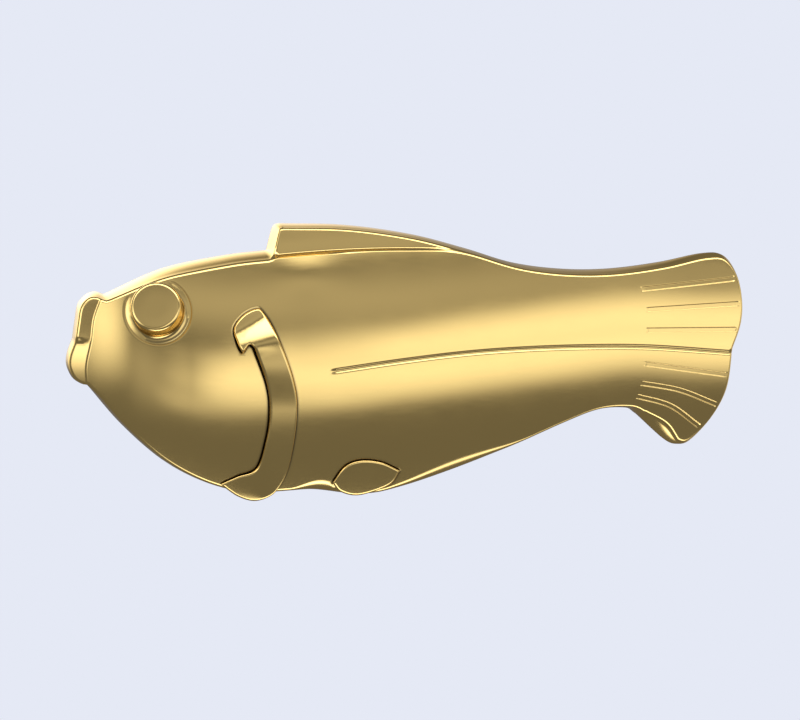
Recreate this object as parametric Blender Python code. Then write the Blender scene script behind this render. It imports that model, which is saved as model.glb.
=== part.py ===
"""Fish-shaped souvenir bottle opener: a hollow cast brass front, and a back plate with a cap window
and a steel cap lifter.

Every piece is modelled lying on its back, with x towards the tail, y towards the back fin and z out of
the front face.  One empty, "fish", then stands the whole opener up, front towards -Y.  All the lengths
below are in millimetres, and MM turns them into metres.
"""
import math

import bmesh
import bpy
from mathutils import Matrix, Vector
from mathutils.geometry import delaunay_2d_cdt

MM = 0.001

# Gaps and thicknesses
GAP = 0.3
WALL = 1.8
PLATE_THICK = 2.2
PLATE_MARGIN = 1.6
LEDGE = 1.4
LIFTER_THICK = 2.0
SEAT = PLATE_THICK + GAP
LIFTER_TOP = SEAT + LIFTER_THICK
DRAFT = 0.5
EDGE_ROUND = 0.9

# The front face: a crown of one radius across the fish, on a spine that falls to nose and tail
CROWN_RADIUS = 44.0
SPINE = [(-62, 5.6), (-58, 7.2), (-50, 10.6), (-40, 12.5), (-20, 13.2), (0, 12.7), (20, 10.5),
         (40, 7.9), (52, 6.9), (67, 5.6)]
CENTRE = [(-62, 3), (-50, 1.5), (-38, -1.2), (-20, -1.6), (0, -1.0), (12, 0.2), (30, 2.0),
          (44, 3.2), (56, 2.4), (67, 2.0)]
BODY_TOP = [(-58.5, 9.0), (-55.5, 12.3), (-50, 15.2), (-44, 17.1), (-36, 18.6), (-24.5, 19.9), (-10, 20.8),
            (0, 20.9), (8, 20.6), (17, 18.7), (26, 16.7), (37, 16.0), (49, 16.7), (60, 18.6), (67, 18.0)]
BODY_BOTTOM = [(-58.5, -2.4), (-55.5, -5.6), (-52, -10.0), (-46, -15.8), (-40, -19.5), (-33, -22.4),
               (-20, -22.9), (-8, -23.7), (0, -22.7), (9, -20.2), (19, -16.5), (31, -11.8), (40, -9.5),
               (50, -11.0), (58, -13.0), (67, -11.0)]

# The outline, as smooth runs that meet at corners
UPPER_LIP = [(-54.6, 13.1), (-56.2, 13.6), (-57.8, 13.1), (-59.3, 11.4), (-59.9, 8.5), (-60.4, 5.2)]
LOWER_LIP = [(-60.4, 5.2), (-61.5, 2.4), (-61.6, 0.3), (-60.6, -1.8), (-59.2, -2.8), (-58.1, -3.0)]
BELLY = [(-58.1, -3.0), (-52.0, -10.4), (-44.7, -17.1), (-37.0, -21.4), (-29.0, -23.5), (-19.0, -23.4),
         (-8.1, -24.5), (-1.0, -23.5), (9.0, -20.8), (18.9, -17.0), (30.7, -12.2), (37.5, -10.0),
         (43.6, -9.9), (46.0, -11.2)]
TAIL_BELOW = [(46.0, -11.2), (51.6, -16.2), (54.3, -17.3), (56.9, -16.5), (60.6, -12.2), (63.2, -6.4),
              (64.0, 1.3)]
TAIL_ABOVE = [(64.0, 1.3), (65.7, 6.0), (66.2, 10.5), (65.4, 15.4), (62.9, 18.9), (58.6, 19.3),
              (50.0, 17.7), (40.0, 16.6), (30.8, 16.7), (21.5, 18.0), (12.3, 20.8), (2.0, 23.5),
              (-10.4, 25.3), (-22.6, 25.7)]
FIN_FRONT = [(-22.6, 25.7), (-23.7, 25.0), (-24.9, 20.8)]
HEAD_TOP = [(-24.9, 20.8), (-33.0, 19.9), (-44.2, 17.6), (-54.6, 13.1)]
OUTLINE_RUNS = [UPPER_LIP, LOWER_LIP, BELLY, TAIL_BELOW, TAIL_ABOVE, FIN_FRONT, HEAD_TOP]
OUTLINE_STEP = 2.2
LATTICE = 4.6

# The back fin is a flat panel a step below the rim of the crown, and so are the lips
FIN_START, FIN_END = -24.5, 12.0
FIN_STEP = 0.7
LIP_STEP = 1.0
LIP_CREASE = [(-3.0, -58.1), (0.0, -58.3), (5.5, -57.3), (9.5, -56.7), (13.2, -55.3)]

# Cast lines: one along the side, three rays on each lobe of the tail
SIDE_LINE = [(-15.4, -0.6), (-2.3, 1.4), (10, 2.9), (21.4, 3.5), (33.5, 3.5), (46.6, 2.6), (61.0, 1.3)]
RAYS = [[(44.9, 13.0), (63.4, 14.5)], [(45.7, 9.2), (64.0, 9.9)], [(45.7, 5.4), (63.8, 5.1)],
        [(45.5, -0.9), (61.9, -3.5)], [(45.0, -4.6), (52.9, -6.2), (60.3, -9.1)],
        [(44.3, -7.1), (51.3, -9.2), (57.2, -13.2)]]
LINE_WIDTH = 0.9
LINE_DEPTH = 0.45

# Raised pieces on the front
GILL = [[(-34.6, -21.0), (-33.1, -22.3), (-31.2, -23.6), (-28.7, -24.4), (-26.4, -23.9), (-24.3, -22.2),
         (-22.4, -17.5), (-21.3, -8.0), (-22.1, -1.6), (-25.0, 6.5), (-27.1, 10.4), (-28.4, 10.9),
         (-30.6, 9.8), (-32.3, 7.6), (-31.9, 5.2), (-31.0, 3.2)],
        [(-31.0, 3.2), (-29.8, 4.8), (-28.9, 4.2)],
        [(-28.9, 4.2), (-26.6, -2.7), (-26.1, -8.0), (-26.7, -13.0), (-28.2, -18.1), (-31.6, -19.6),
         (-34.6, -21.0)]]
VENTRAL_FIN = [[(-1.5, -19.5), (-5.2, -17.7), (-9.1, -17.2), (-12.0, -18.3), (-14.1, -21.4)],
               [(-14.1, -21.4), (-12.4, -23.3), (-8.8, -24.1), (-3.4, -22.3), (-1.5, -19.5)]]
GILL_THICK = 1.45
FIN_THICK = 0.8
RAISED_ROUND = 0.35
PIN_RADIUS = 1.0
PUSH_NUT_WIDTH = 1.2
GILL_PINS = [(-28.9, 8.0), (-23.9, -10.0)]
FIN_PIN = (-8.0, -22.0)
FIN_PIN_LENGTH = 3.0

# The eye: a turned stud, leaning a little forwards and up from square to the cheek
EYE = (-45.6, 10.6)
EYE_RADIUS = 4.5
EYE_HEIGHT = 4.0
EYE_LEAN = (-0.09, 0.12)
EYE_TOP_ROUND = 0.75
EYE_SEAT_DEPTH = 0.9
EYE_SEAT_RADIUS = 5.2
EYE_PIN_RADIUS = 1.0
EYE_PIN_LENGTH = 5.0

# Crown cap window, cap lifter, screws and magnets
WINDOW = (-34.0, -10.0, -18.0, 15.0)
WINDOW_CORNER = 8.0
TOOTH = 3.2
TOOTH_HALF_WIDTH = 5.5
LIFTER_LENGTH = 16.0
LIFTER_HALF_WIDTH = 9.5
LIFTER_CENTRE_Y = -1.5
COVER_SCREWS = [(-39.0, 12.0), (-39.0, -13.5), (9.0, 15.0), (9.0, -14.5), (37.0, 3.2)]
LIFTER_SCREWS = [(-2.0, LIFTER_CENTRE_Y + 5.5), (-2.0, LIFTER_CENTRE_Y - 5.5)]
BOSS_RADIUS = 2.6
SCREW_RADIUS = 1.1
SCREW_HEAD_RADIUS = 2.3
SCREW_HEAD_DEPTH = 1.2
SCREW_LENGTH = 5.4
LIFTER_SCREW_LENGTH = 5.0
MAGNETS = [(-46.5, 0.5), (23.5, 1.5)]
MAGNET_RADIUS = 6.0
MAGNET_THICK = 1.3


def station_value(stations, x):
    """Smooth curve through (x, value) stations, with level slopes carried past its ends."""
    if x <= stations[0][0]:
        return stations[0][1]
    if x >= stations[-1][0]:
        return stations[-1][1]
    i = next(k for k in range(1, len(stations)) if x <= stations[k][0])
    (x0, v0), (x1, v1) = stations[i - 1], stations[i]
    before = stations[max(i - 2, 0)]
    after = stations[min(i + 1, len(stations) - 1)]
    slope0 = (v1 - before[1]) / (x1 - before[0])
    slope1 = (after[1] - v0) / (after[0] - x0)
    span = x1 - x0
    t = (x - x0) / span
    return (v0 * (1 + 2 * t) * (1 - t) ** 2 + v1 * t * t * (3 - 2 * t)
            + span * (slope0 * t * (1 - t) ** 2 + slope1 * t * t * (t - 1)))


def smooth_run(points, step):
    """Points about one step apart on a smooth curve through the given points, without its last point."""
    made = []
    for i in range(len(points) - 1):
        a, b = Vector(points[i]), Vector(points[i + 1])
        before = Vector(points[i - 1]) if i else a * 2 - b
        after = Vector(points[i + 2]) if i + 2 < len(points) else b * 2 - a
        count = max(1, round((b - a).length / step))
        for k in range(count):
            t = k / count
            made.append(0.5 * (2 * a + (b - before) * t + (2 * before - 5 * a + 4 * b - after) * t * t
                               + (3 * a - before - 3 * b + after) * t ** 3))
    return made


def closed_outline(runs, step):
    return [p for run in runs for p in smooth_run(run, step)]


def inset(loop, distance):
    """The loop moved inwards; it runs anticlockwise."""
    moved = []
    for i, p in enumerate(loop):
        before = (p - loop[i - 1]).normalized()
        after = (loop[(i + 1) % len(loop)] - p).normalized()
        bisector = before + after
        normal = Vector((-bisector.y, bisector.x)).normalized()
        square = max(0.5, normal.dot(Vector((-after.y, after.x))))
        moved.append(p + normal * distance / square)
    return moved


def crown_height(x, y):
    centre = station_value(CENTRE, x)
    return station_value(SPINE, x) - (y - centre) ** 2 / (2 * CROWN_RADIUS)


def face_height(x, y):
    """Height of the front face above the back, with the fin panel and lips a step down."""
    if x < station_value(LIP_CREASE, y):
        return crown_height(x, y) - LIP_STEP
    top = station_value(BODY_TOP, x)
    if FIN_START < x < FIN_END and y > top:
        fade = min(1.0, (FIN_END - x) / 8)
        return crown_height(x, top) - FIN_STEP * fade
    return crown_height(x, y)


def face_slope(x, y):
    """Unit vector square to the crown."""
    step = 0.5
    dx = (crown_height(x + step, y) - crown_height(x - step, y)) / (2 * step)
    dy = (crown_height(x, y + step) - crown_height(x, y - step)) / (2 * step)
    return Vector((-dx, -dy, 1)).normalized()


def inner_outline(margin):
    """Outline of the hollow or of the back plate: the body curves moved inwards, rounded at both ends."""
    start, end = -56.5 + margin, 43.5 - margin
    count = 34
    above, below = [], []
    for i in range(1, count):
        turn = math.pi * i / count
        x = (start + end) / 2 - (end - start) / 2 * math.cos(turn)
        roundness = min(1.0, math.sqrt(1 - abs(math.cos(turn)) ** 12))
        top = station_value(BODY_TOP, x) - margin
        bottom = station_value(BODY_BOTTOM, x) + margin
        middle = (top + bottom) / 2
        above.append(Vector((x, middle + (top - middle) * roundness)))
        below.append(Vector((x, middle + (bottom - middle) * roundness)))
    return below + above[::-1]


def triangulate(loop, extra):
    """Flat triangles that fill a loop, using the extra points inside it."""
    count = len(loop)
    edges = [(i, (i + 1) % count) for i in range(count)]
    points, _, triangles = delaunay_2d_cdt([Vector(p) for p in loop + extra], edges, [], 0, 1e-6, False)[:3]
    filled = []
    for t in triangles:
        middle = (points[t[0]] + points[t[1]] + points[t[2]]) / 3
        if inside(loop, middle.x, middle.y):
            filled.append(t)
    return points, filled


def lattice_inside(loop, spacing, clearance):
    """A staggered lattice of points inside a loop, kept clear of it."""
    inner = inset(loop, clearance)
    low_x, high_x = min(p.x for p in inner), max(p.x for p in inner)
    low_y, high_y = min(p.y for p in inner), max(p.y for p in inner)
    points = []
    row, y = 0, low_y
    while y < high_y:
        x = low_x + (row % 2) * spacing / 2
        while x < high_x:
            if inside(inner, x, y) and min((Vector((x, y)) - p).length for p in loop) > clearance:
                points.append(Vector((x, y)))
            x += spacing
        row += 1
        y += spacing * 0.87
    return points


def inside(loop, x, y):
    odd = False
    for i, p in enumerate(loop):
        q = loop[i - 1]
        if (p.y > y) != (q.y > y) and x < (q.x - p.x) * (y - p.y) / (q.y - p.y) + p.x:
            odd = not odd
    return odd


def new_object(name, mesh, material=None, parent=None):
    thing = bpy.data.objects.new(name, mesh)
    bpy.context.scene.collection.objects.link(thing)
    thing.parent = parent
    if material:
        mesh.materials.append(material)
    return thing


def mesh_from(name, vertices, faces):
    """A mesh in metres from millimetre points, welded and with its faces pointing out."""
    mesh = bpy.data.meshes.new(name)
    mesh.from_pydata([Vector(v) * MM for v in vertices], [], faces)
    work = bmesh.new()
    work.from_mesh(mesh)
    bmesh.ops.remove_doubles(work, verts=work.verts, dist=1e-6)
    bmesh.ops.recalc_face_normals(work, faces=work.faces)
    work.to_mesh(mesh)
    work.free()
    return mesh


def solid_between(name, loop, extra, low, high, rim_loops=()):
    """A closed solid with one outline: its lower face at low(x, y) and its upper face at high(x, y).

    Each rim loop is (loop, height function), from the lower edge upwards; the upper face fills the last.
    """
    rings = [[(p.x, p.y, low(p.x, p.y)) for p in loop]]
    rings += [[(p.x, p.y, height(p.x, p.y)) for p in ring] for ring, height in rim_loops]
    last = rim_loops[-1][0] if rim_loops else loop
    if not rim_loops:
        rings.append([(p.x, p.y, high(p.x, p.y)) for p in loop])
    vertices = [v for ring in rings for v in ring]
    count = len(loop)
    faces = []
    for r in range(len(rings) - 1):
        for i in range(count):
            j = (i + 1) % count
            faces.append((r * count + i, r * count + j, (r + 1) * count + j, (r + 1) * count + i))
    for ring, height, points in ((loop, low, extra if low is not flat_zero else []), (last, high, extra)):
        flat, triangles = triangulate(ring, points)
        first = len(vertices)
        vertices += [(p.x, p.y, height(p.x, p.y)) for p in flat]
        faces += [tuple(first + k for k in t) for t in triangles]
    return mesh_from(name, vertices, faces)


def flat_zero(x, y):
    return 0.0


def turned(name, profile, sides=32):
    """A closed turned solid from (radius, height) points that start and end on the axis."""
    vertices, faces = [], []
    inner = profile[1:-1]
    for radius, height in inner:
        for k in range(sides):
            a = 2 * math.pi * k / sides
            vertices.append((radius * math.cos(a), radius * math.sin(a), height))
    for r in range(len(inner) - 1):
        for k in range(sides):
            j = (k + 1) % sides
            faces.append((r * sides + k, r * sides + j, (r + 1) * sides + j, (r + 1) * sides + k))
    faces.append(tuple(range(sides)))
    faces.append(tuple((len(inner) - 1) * sides + k for k in range(sides)))
    return mesh_from(name, vertices, faces)


def ring_mesh(name, inner_radius, outer_radius, thick, sides=32):
    """A flat ring from height 0 to thick."""
    section = [(inner_radius, 0), (outer_radius, 0), (outer_radius, thick), (inner_radius, thick)]
    vertices, faces = [], []
    for k in range(sides):
        a = 2 * math.pi * k / sides
        vertices += [(r * math.cos(a), r * math.sin(a), z) for r, z in section]
    for k in range(sides):
        j = (k + 1) % sides
        faces += [(4 * k + s, 4 * j + s, 4 * j + (s + 1) % 4, 4 * k + (s + 1) % 4) for s in range(4)]
    return mesh_from(name, vertices, faces)


def peg(name, radius, low, high, place, sides=20):
    """A plain cylinder standing at place, from height low to high."""
    vertices, faces = [], []
    for z in (low, high):
        for k in range(sides):
            a = 2 * math.pi * k / sides
            vertices.append((place[0] + radius * math.cos(a), place[1] + radius * math.sin(a), z))
    for k in range(sides):
        j = (k + 1) % sides
        faces.append((k, j, sides + j, sides + k))
    faces.append(tuple(range(sides)))
    faces.append(tuple(range(sides, 2 * sides)))
    return mesh_from(name, vertices, faces)


def cut(target, operation, name, mesh, parent, matrix=None):
    """Adds a Boolean with a hidden helper object."""
    helper = new_object(name, mesh, parent=parent)
    if matrix:
        helper.matrix_local = matrix
    helper.hide_render = True
    helper.hide_set(True)
    helper.display_type = 'WIRE'
    modifier = target.modifiers.new(name, 'BOOLEAN')
    modifier.operation = operation
    modifier.solver = 'EXACT'
    modifier.object = helper
    return helper


def brushed_material(name, colour, metallic, roughness):
    material = bpy.data.materials.new(name)
    material.use_nodes = True
    shader = material.node_tree.nodes["Principled BSDF"]
    shader.inputs["Base Color"].default_value = (*colour, 1)
    shader.inputs["Metallic"].default_value = metallic
    shader.inputs["Roughness"].default_value = roughness
    return material


def round_off(mesh, angle=35):
    mesh.shade_smooth()
    mesh.set_sharp_from_angle(angle=math.radians(angle))


def rounded_rectangle(low_x, high_x, low_y, high_y, corner, steps=6):
    points = []
    for cx, cy, start in ((high_x - corner, low_y + corner, -90), (high_x - corner, high_y - corner, 0),
                          (low_x + corner, high_y - corner, 90), (low_x + corner, low_y + corner, 180)):
        for k in range(steps + 1):
            a = math.radians(start + 90 * k / steps)
            points.append(Vector((cx + corner * math.cos(a), cy + corner * math.sin(a))))
    return points


def prism(name, loop, low, high):
    return solid_between(name, loop, [], lambda x, y: low, lambda x, y: high)


def eye_matrix():
    """Stands at the centre of the eye's seat, with its own z along the stud."""
    axis = (face_slope(*EYE) + Vector((*EYE_LEAN, 0))).normalized()
    turn = Vector((0, 0, 1)).rotation_difference(axis).to_matrix().to_4x4()
    foot = Vector((*EYE, crown_height(*EYE))) - axis * EYE_SEAT_DEPTH
    return Matrix.Translation(foot * MM) @ turn


def shell_mesh():
    """The outside of the cast front: drafted sides, a rounded rim and the crowned face."""
    base = closed_outline(OUTLINE_RUNS, OUTLINE_STEP)
    side = inset(base, DRAFT)
    rim = inset(base, DRAFT + EDGE_ROUND * 0.4)
    face = inset(base, DRAFT + EDGE_ROUND)
    crease = [Vector((x, station_value(BODY_TOP, x) + offset))
              for x in range(-23, 11, 2) for offset in (-0.3, 0.4)]
    points = [p for p in lattice_inside(face, LATTICE, 2.0)
              if min((p - c).length for c in crease) > 1.5] + crease
    rims = [(side, lambda x, y: face_height(x, y) - EDGE_ROUND),
            (rim, lambda x, y: face_height(x, y) - EDGE_ROUND * 0.3),
            (face, face_height)]
    return solid_between("front_shell", base, points, flat_zero, face_height, rims)


def line_cutter(route, index):
    """A bar along a cast line, sunk into the face by the line's depth and pointed at its start."""
    points = smooth_run(route, 3.0) + [Vector(route[-1])]
    vertices, faces = [], []
    for i, p in enumerate(points):
        ahead = (points[min(i + 1, len(points) - 1)] - points[max(i - 1, 0)]).normalized()
        side = Vector((-ahead.y, ahead.x)) * LINE_WIDTH / 2
        height = face_height(p.x, p.y)
        for q, z in ((p - side, height - LINE_DEPTH), (p + side, height - LINE_DEPTH),
                     (p + side * 1.3, height + 1.5), (p - side * 1.3, height + 1.5)):
            vertices.append((q.x, q.y, z))
    for i in range(len(points) - 1):
        faces += [(4 * i + s, 4 * i + (s + 1) % 4, 4 * i + 4 + (s + 1) % 4, 4 * i + 4 + s) for s in range(4)]
    faces.append((0, 1, 2, 3))
    last = 4 * (len(points) - 1)
    faces.append((last, last + 1, last + 2, last + 3))
    return mesh_from(f"line_cutter_{index}", vertices, faces)


def make_front_shell(parent, material):
    shell = new_object("front_shell", shell_mesh(), material, parent)
    hollow_loop = inner_outline(PLATE_MARGIN + LEDGE)
    hollow_points = lattice_inside(hollow_loop, LATTICE * 1.3, 2.5)
    hollow = solid_between("hollow", hollow_loop, hollow_points, lambda x, y: -2.0,
                           lambda x, y: max(SEAT + 0.4, crown_height(x, y) - WALL))
    cut(shell, 'DIFFERENCE', "hollow", hollow, parent)
    rebate = prism("rebate", inner_outline(PLATE_MARGIN - GAP), -1.0, SEAT)
    cut(shell, 'DIFFERENCE', "rebate", rebate, parent)
    for i, place in enumerate(COVER_SCREWS + LIFTER_SCREWS):
        foot = SEAT if i < len(COVER_SCREWS) else LIFTER_TOP + GAP
        top = crown_height(*place) - WALL * 0.8
        cut(shell, 'UNION', f"boss_{i + 1}", peg("boss", BOSS_RADIUS, foot, top, place), parent)
        tip = SCREW_LENGTH + GAP if i < len(COVER_SCREWS) else SEAT + LIFTER_SCREW_LENGTH + GAP
        bore = peg("bore", SCREW_RADIUS + GAP, foot - 1, tip, place)
        cut(shell, 'DIFFERENCE', f"bore_{i + 1}", bore, parent)
    for i, place in enumerate(GILL_PINS):
        hole = peg("pin_hole", PIN_RADIUS + GAP, SEAT + 1, crown_height(*place) + 2, place)
        cut(shell, 'DIFFERENCE', f"pin_hole_{i + 1}", hole, parent)
    bottom = crown_height(*FIN_PIN) - FIN_PIN_LENGTH - GAP
    blind = peg("fin_pin_hole", PIN_RADIUS + GAP, bottom, bottom + FIN_PIN_LENGTH + 3, FIN_PIN)
    cut(shell, 'DIFFERENCE', "fin_pin_hole", blind, parent)
    seat = turned("eye_seat", [(0, 0), (EYE_SEAT_RADIUS, 0), (EYE_SEAT_RADIUS, 6), (0, 6)], 40)
    cut(shell, 'DIFFERENCE', "eye_seat", seat, parent, eye_matrix())
    hole = turned("eye_hole", [(0, -7), (EYE_PIN_RADIUS + GAP, -7), (EYE_PIN_RADIUS + GAP, 1), (0, 1)], 24)
    cut(shell, 'DIFFERENCE', "eye_hole", hole, parent, eye_matrix())
    for i, route in enumerate([SIDE_LINE] + RAYS):
        cut(shell, 'DIFFERENCE', f"cast_line_{i + 1}", line_cutter(route, i + 1), parent)
    round_off(shell.data)


def countersink(name, top_gap):
    """Cutter for a screw hole from below: clearance bore and cone."""
    wide = SCREW_HEAD_RADIUS + GAP
    narrow = SCREW_RADIUS + GAP
    return turned(name, [(0, -1), (wide, -1), (wide, 0.3), (narrow, SCREW_HEAD_DEPTH + 0.3),
                         (narrow, top_gap), (0, top_gap)], 28)


def make_back_plate(parent, material):
    plate = new_object("back_plate", prism("back_plate", inner_outline(PLATE_MARGIN), 0, PLATE_THICK),
                       material, parent)
    window = prism("window", rounded_rectangle(*WINDOW, WINDOW_CORNER), -1, PLATE_THICK + 1)
    cut(plate, 'DIFFERENCE', "window", window, parent)
    for i, place in enumerate(COVER_SCREWS):
        at = Matrix.Translation(Vector((*place, 0)) * MM)
        cut(plate, 'DIFFERENCE', f"sink_{i + 1}", countersink("sink", PLATE_THICK + 1), parent, at)
    for i, place in enumerate(MAGNETS):
        pocket = peg("pocket", MAGNET_RADIUS + GAP, -1, MAGNET_THICK + GAP, place, 40)
        cut(plate, 'DIFFERENCE', f"pocket_{i + 1}", pocket, parent)


def lifter_loop():
    """Outline of the steel lifter, with its tooth reaching into the window."""
    edge = WINDOW[1]
    y = LIFTER_CENTRE_Y
    far = edge + LIFTER_LENGTH
    body = LIFTER_HALF_WIDTH
    tooth = [(edge + 0.8, y - body), (far - 3, y - body), (far, y - body + 3), (far, y + body - 3),
             (far - 3, y + body), (edge + 0.8, y + body)]
    nose = []
    for k in range(9):
        side = 1 - k / 4
        nose.append((edge - TOOTH + 0.9 * side * side, y + TOOTH_HALF_WIDTH * side))
    return [Vector(p) for p in tooth + nose]


def make_cap_lifter(parent, material):
    lifter = new_object("cap_lifter", prism("cap_lifter", lifter_loop(), SEAT, LIFTER_TOP), material, parent)
    for i, place in enumerate(LIFTER_SCREWS):
        at = Matrix.Translation(Vector((*place, SEAT)) * MM)
        cut(lifter, 'DIFFERENCE', f"lifter_sink_{i + 1}", countersink("sink", LIFTER_THICK + 1), parent, at)


def screw_mesh(name, length):
    """A countersunk machine screw, head down at height 0, with a cross recess."""
    head, body = SCREW_HEAD_RADIUS, SCREW_RADIUS
    return turned(name, [(0, 0.05), (head, 0.05), (head, 0.25), (body, SCREW_HEAD_DEPTH),
                         (body, length - 0.5), (body * 0.6, length), (0, length)], 24)


def cross_recess(name):
    arms = []
    for k in range(4):
        a = math.radians(90 * k)
        along, across = Vector((math.cos(a), math.sin(a))), Vector((-math.sin(a), math.cos(a)))
        arms += [along * 1.25 - across * 0.3, along * 1.25 + across * 0.3, (along + across) * 0.3]
    return prism(name, arms, -0.5, 0.75)


def make_screws(parent, material):
    for group, places, foot, length in (("cover_screw", COVER_SCREWS, 0.0, SCREW_LENGTH),
                                        ("lifter_screw", LIFTER_SCREWS, SEAT, LIFTER_SCREW_LENGTH)):
        for i, place in enumerate(places):
            screw = new_object(f"{group}_{i + 1}", screw_mesh(group, length), material, parent)
            screw.location = Vector((*place, foot)) * MM
            cut(screw, 'DIFFERENCE', f"{group}_recess_{i + 1}", cross_recess("recess"), parent,
                Matrix.Translation(Vector((*place, foot)) * MM))
            round_off(screw.data)


def make_magnets(parent, material):
    for i, place in enumerate(MAGNETS):
        edge = 0.2
        disc = turned("magnet", [(0, 0), (MAGNET_RADIUS - edge, 0), (MAGNET_RADIUS, edge),
                                 (MAGNET_RADIUS, MAGNET_THICK - edge), (MAGNET_RADIUS - edge, MAGNET_THICK),
                                 (0, MAGNET_THICK)], 40)
        magnet = new_object(f"magnet_{i + 1}", disc, material, parent)
        magnet.location = Vector((*place, 0)) * MM
        round_off(disc)


def make_raised(name, runs, thick, pins, pin_length, parent, material):
    """A raised plate that follows the crown, held by pins in the shell."""
    loop = closed_outline(runs, 1.6)
    points = lattice_inside(loop, 2.6, 1.2)
    edge = inset(loop, RAISED_ROUND)

    def seat(x, y):
        return crown_height(x, y) + GAP

    def top(x, y):
        return seat(x, y) + thick

    rims = [(loop, lambda x, y: top(x, y) - RAISED_ROUND), (edge, top)]
    piece = new_object(name, solid_between(name, loop, points, seat, top, rims), material, parent)
    for i, place in enumerate(pins):
        pin = peg("pin", PIN_RADIUS, crown_height(*place) - pin_length, seat(*place) + thick * 0.6, place, 16)
        cut(piece, 'UNION', f"{name}_pin_{i + 1}", pin, parent)
    round_off(piece.data)


def make_push_nut(name, matrix, radius, parent, material):
    nut = new_object(name, ring_mesh(name, radius + GAP, radius + PUSH_NUT_WIDTH, 0.5, 28), material, parent)
    nut.matrix_local = matrix
    round_off(nut.data)


def make_eye(parent, material):
    r, h, soft = EYE_RADIUS, EYE_HEIGHT + EYE_SEAT_DEPTH, EYE_TOP_ROUND
    profile = [(0, -EYE_PIN_LENGTH), (EYE_PIN_RADIUS, -EYE_PIN_LENGTH), (EYE_PIN_RADIUS, GAP), (r + 0.3, GAP),
               (r + 0.3, 1.0), (r, 1.5)]
    for k in range(5):
        a = math.radians(90 * k / 4)
        profile.append((r - soft + soft * math.cos(a), h - soft + soft * math.sin(a)))
    profile.append((0, h))
    stud = new_object("eye_stud", turned("eye_stud", profile, 40), material, parent)
    stud.matrix_local = eye_matrix()
    round_off(stud.data)


def make_push_nuts(parent, material):
    under_eye = eye_matrix() @ Matrix.Translation(Vector((0, 0, -WALL - 0.9)) * MM)
    make_push_nut("eye_push_nut", under_eye, EYE_PIN_RADIUS, parent, material)
    for i, place in enumerate(GILL_PINS):
        height = crown_height(*place) - WALL - 1.5
        at = Matrix.Translation(Vector((*place, height)) * MM)
        make_push_nut(f"gill_push_nut_{i + 1}", at, PIN_RADIUS, parent, material)


def main():
    for thing in list(bpy.data.objects):
        bpy.data.objects.remove(thing)
    fish = bpy.data.objects.new("fish", None)
    bpy.context.scene.collection.objects.link(fish)
    fish.rotation_euler = (math.radians(90), 0, 0)

    brass = brushed_material("polished_brass", (0.78, 0.56, 0.2), 1.0, 0.22)
    plate_brass = brushed_material("rolled_brass", (0.72, 0.52, 0.2), 1.0, 0.35)
    steel = brushed_material("plated_steel", (0.55, 0.55, 0.56), 1.0, 0.3)
    nickel = brushed_material("nickel_magnet", (0.66, 0.64, 0.6), 1.0, 0.25)

    make_front_shell(fish, brass)
    make_back_plate(fish, plate_brass)
    make_cap_lifter(fish, steel)
    make_eye(fish, brass)
    make_raised("gill_cover", GILL, GILL_THICK, GILL_PINS, WALL + 2.2, fish, brass)
    make_raised("ventral_fin", VENTRAL_FIN, FIN_THICK, [FIN_PIN], FIN_PIN_LENGTH, fish, brass)
    make_push_nuts(fish, steel)
    make_screws(fish, steel)
    make_magnets(fish, nickel)


main()
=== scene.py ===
import math

import bmesh
import bpy
import numpy as np
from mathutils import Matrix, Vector
from mathutils.geometry import delaunay_2d_cdt


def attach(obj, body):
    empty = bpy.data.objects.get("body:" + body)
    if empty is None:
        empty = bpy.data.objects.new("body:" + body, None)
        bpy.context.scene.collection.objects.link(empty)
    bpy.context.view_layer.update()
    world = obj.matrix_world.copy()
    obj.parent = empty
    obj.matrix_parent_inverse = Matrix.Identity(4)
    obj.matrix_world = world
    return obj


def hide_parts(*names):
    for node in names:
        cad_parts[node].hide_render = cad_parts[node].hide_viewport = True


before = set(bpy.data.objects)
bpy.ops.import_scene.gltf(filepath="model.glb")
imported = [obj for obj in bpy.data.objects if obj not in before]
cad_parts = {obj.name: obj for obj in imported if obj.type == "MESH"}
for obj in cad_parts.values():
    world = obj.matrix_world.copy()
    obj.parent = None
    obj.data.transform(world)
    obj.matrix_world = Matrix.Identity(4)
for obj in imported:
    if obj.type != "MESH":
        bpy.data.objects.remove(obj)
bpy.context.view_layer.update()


# ---- The cast front ------------------------------------------------------------------------------------
# The hollow front of the fish, one brass casting about two millimetres thick with a solid tail.
# It is cast with drafted sides, tumbled and buffed bright, then clear lacquered.
# Everything is drawn lying on its back in millimetres: x to the tail, y to the back fin, z out of the face.
CROWN_RADIUS = 44.0
SPINE = [(-62, 5.6), (-58, 7.2), (-50, 10.6), (-40, 12.5), (-20, 13.2), (0, 12.7), (20, 10.5),
         (40, 7.9), (52, 6.9), (67, 5.6)]
CENTRE = [(-62, 3), (-50, 1.5), (-38, -1.2), (-20, -1.6), (0, -1.0), (12, 0.2), (30, 2.0),
          (44, 3.2), (56, 2.4), (67, 2.0)]
BODY_TOP = [(-58.5, 9.0), (-55.5, 12.3), (-50, 15.2), (-44, 17.1), (-36, 18.6), (-24.5, 19.9), (-10, 20.8),
            (0, 20.9), (8, 20.6), (17, 18.7), (26, 16.7), (37, 16.0), (49, 16.7), (60, 18.6), (67, 18.0)]
BODY_BOTTOM = [(-58.5, -2.4), (-55.5, -5.6), (-52, -10.0), (-46, -15.8), (-40, -19.5), (-33, -22.4),
               (-20, -22.9), (-8, -23.7), (0, -22.7), (9, -20.2), (19, -16.5), (31, -11.8), (40, -9.5),
               (50, -11.0), (58, -13.0), (67, -11.0)]
LIP_CREASE = [(-3.0, -58.1), (0.0, -58.3), (5.5, -57.3), (9.5, -56.7), (13.2, -55.3)]

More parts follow.
